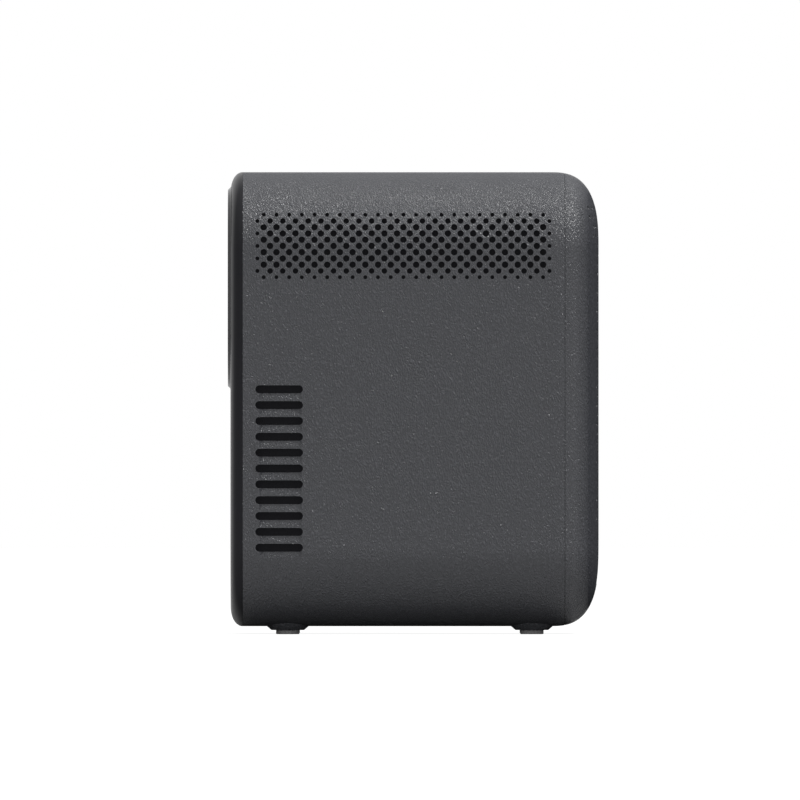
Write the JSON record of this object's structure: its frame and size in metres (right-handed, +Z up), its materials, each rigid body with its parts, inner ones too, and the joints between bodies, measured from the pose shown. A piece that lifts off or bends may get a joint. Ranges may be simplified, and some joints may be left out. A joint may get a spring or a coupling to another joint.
{
  "type": "video projector",
  "caption": "Compact upright box projector with a raised lens window, a side dot grille, side air louvres and a soft rear cap with its sockets.",
  "frame": {"origin": "on the table under the middle of the object's box", "axes": "+Z up, the lens looks along -Y, +X is the side with the air louvres"},
  "size_m": [0.12, 0.15, 0.187],
  "materials": {
    "grained_shell": "fine grained moulded plastic, dark grey",
    "front_black": "smooth satin black plastic",
    "gloss_black": "polished black panel",
    "inner_black": "matt black moulding",
    "coated_glass": "coated optical glass",
    "foot_rubber": "soft black rubber",
    "nut_brass": "machined brass",
    "plain_steel": "plain zinc-plated steel",
    "fin_aluminium": "bare aluminium",
    "pipe_copper": null,
    "board_green": "green solder mask on glass-fibre board",
    "mirror_face": "front-silvered glass",
    "gear_resin": "natural acetal",
    "cone_paper": "black pressed cone",
    "filter_foam": "open dark grey filter foam",
    "lcd_face": "dark LCD glass"
  },
  "bodies": {
    "housing": {"main_shell": "grained_shell", "front_cover": "front_black", "window_bezel": "gloss_black", "lens_window": "coated_glass", "camera_window": "coated_glass", "lens_hood": "inner_black", "rear_cover": "grained_shell", "port_panel": "front_black", "hdmi_socket": "plain_steel", "usb_socket": "plain_steel", "dc_socket": "inner_black", "audio_socket": "inner_black", "foot_front_left": "foot_rubber", "foot_front_right": "foot_rubber", "foot_rear_left": "foot_rubber", "foot_rear_right": "foot_rubber", "tripod_nut": "nut_brass", "button_board": "board_green", "base_chassis": "plain_steel", "chassis_screw_1": "plain_steel", "chassis_screw_2": "plain_steel", "chassis_screw_3": "plain_steel", "chassis_screw_4": "plain_steel", "heat_spreader": "pipe_copper", "led_board": "board_green", "engine_lower": "inner_black", "condenser_lens": "coated_glass", "field_lens_lower": "coated_glass", "lcd_panel": "lcd_face", "field_lens_upper": "coated_glass", "engine_upper": "inner_black", "fold_mirror": "mirror_face", "lens_mount": "inner_black", "focus_motor": "plain_steel", "blower_frame": "inner_black", "blower_lid": "inner_black", "fin_stack": "fin_aluminium", "heat_pipe_1": "pipe_copper", "heat_pipe_2": "pipe_copper", "speaker_box_left": "inner_black", "speaker_driver_left": "cone_paper", "speaker_box_right": "inner_black", "speaker_driver_right": "cone_paper", "main_board": "board_green", "board_cooler": "fin_aluminium", "dust_filter": "filter_foam"},
    "power_button": {"power_button": "grained_shell"},
    "focus_ring": {"focus_ring": "gear_resin"},
    "lens_barrel": {"lens_barrel": "inner_black", "front_lens": "coated_glass", "rear_lens": "coated_glass"},
    "motor_pinion": {"motor_pinion": "nut_brass"},
    "blower_rotor": {"blower_rotor": "inner_black"}
  },
  "joints": [
    {"name": "button_press", "type": "slide", "parent": "housing", "child": "power_button", "axis": [0, 0, -1], "range_m": [0, 0.0008], "stiffness_N_per_m": 1500, "springref_m": -0.0006},
    {"name": "lens_travel", "type": "slide", "parent": "housing", "child": "lens_barrel", "axis": [0, 1, 0], "range_m": [-0.0025, 0.0025]},
    {"name": "focus_turn", "type": "hinge", "parent": "housing", "child": "focus_ring", "pos_m": [0, -0.0316, 0.1401], "axis": [0, 1, 0], "range_deg": [-50.2, 50.2]},
    {"name": "pinion_spin", "type": "hinge", "parent": "housing", "child": "motor_pinion", "pos_m": [0.0168, -0.0316, 0.111], "axis": [0, 1, 0], "range_deg": [-301, 301]},
    {"name": "blower_spin", "type": "hinge", "parent": "housing", "child": "blower_rotor", "pos_m": [-0.014, -0.054, 0.0671], "axis": [0, 1, 0], "continuous": true}
  ],
  "couplings": [
    {"joint": "focus_turn", "follows": "lens_travel", "rad_per_m": 349.07},
    {"joint": "pinion_spin", "follows": "lens_travel", "rad_per_m": -2094.4}
  ]
}
